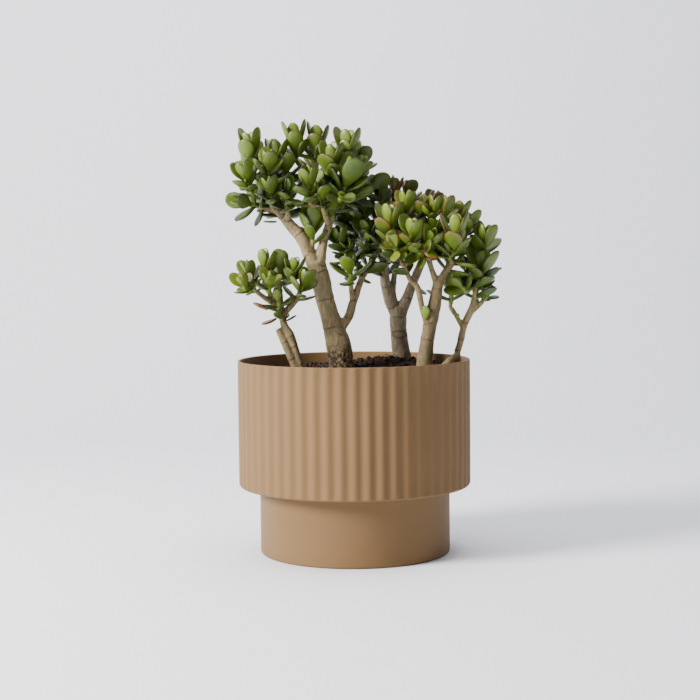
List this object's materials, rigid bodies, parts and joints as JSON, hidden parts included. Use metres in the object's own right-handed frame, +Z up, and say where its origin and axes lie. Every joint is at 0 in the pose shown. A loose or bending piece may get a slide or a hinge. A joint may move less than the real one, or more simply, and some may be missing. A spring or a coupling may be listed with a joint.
{
  "type": "potted minor jade plant",
  "caption": "Old woody jade plants with thick rounded leaves, grown together in a ribbed drum pot on a plain narrower foot.",
  "frame": {"origin": "centre of the pot's flat base, on the surface that it stands on", "axes": "+Z up, -Y towards the front that the picture shows, +X to that front's right"},
  "size_m": [0.2694, 0.23, 0.4281],
  "materials": {
    "pot_coating": "matte",
    "potting_soil": "matte",
    "bark": "matte",
    "shaded_bark": "matte",
    "leaf": "satin"
  },
  "bodies": {
    "root": {"pot": "pot_coating", "soil": "potting_soil", "stem_main": "bark", "stem_small": "bark", "stem_middle": "shaded_bark", "stem_front": "bark", "stem_edge": "bark", "leaves_left_crown_1": "leaf", "leaves_left_crown_3": "leaf", "leaves_left_crown_10": "leaf", "leaves_left_crown_5": "leaf", "leaves_left_crown_6": "leaf", "leaves_left_crown_7": "leaf", "leaves_left_crown_8": "leaf", "leaves_left_crown_11": "leaf", "leaves_right_crown_1": "leaf", "leaves_right_crown_3": "leaf", "leaves_right_crown_14": "leaf", "leaves_right_crown_5": "leaf", "leaves_right_crown_16": "leaf", "leaves_right_crown_7": "leaf", "leaves_right_crown_8": "leaf", "leaves_right_crown_9": "leaf", "leaves_right_crown_10": "leaf", "leaves_right_crown_11": "leaf", "leaves_right_crown_13": "leaf", "leaves_fork_shoot": "leaf", "leaves_side_branch_1": "leaf", "leaves_side_branch_2": "leaf", "leaves_side_branch_3": "leaf", "leaves_side_branch_4": "leaf", "leaves_side_branch_5": "leaf", "leaves_middle_10": "leaf", "leaves_middle_2": "leaf", "leaves_middle_4": "leaf", "leaves_middle_5": "leaf", "leaves_middle_6": "leaf", "leaves_middle_7": "leaf", "leaves_front_14": "leaf", "leaves_front_2": "leaf", "leaves_front_3": "leaf", "leaves_front_4": "leaf", "leaves_front_10": "leaf", "leaves_front_15": "leaf", "leaves_front_7": "leaf", "leaves_front_8": "leaf", "leaves_front_16": "leaf", "leaves_front_11": "leaf", "leaves_edge_1": "leaf", "leaves_edge_2": "leaf", "leaves_edge_3": "leaf", "leaves_edge_4": "leaf", "leaves_edge_5": "leaf", "leaves_small_1": "leaf", "leaves_small_2": "leaf", "leaves_small_3": "leaf", "leaves_small_4": "leaf", "leaves_small_5": "leaf", "leaves_small_6": "leaf"}
  },
  "joints": []
}
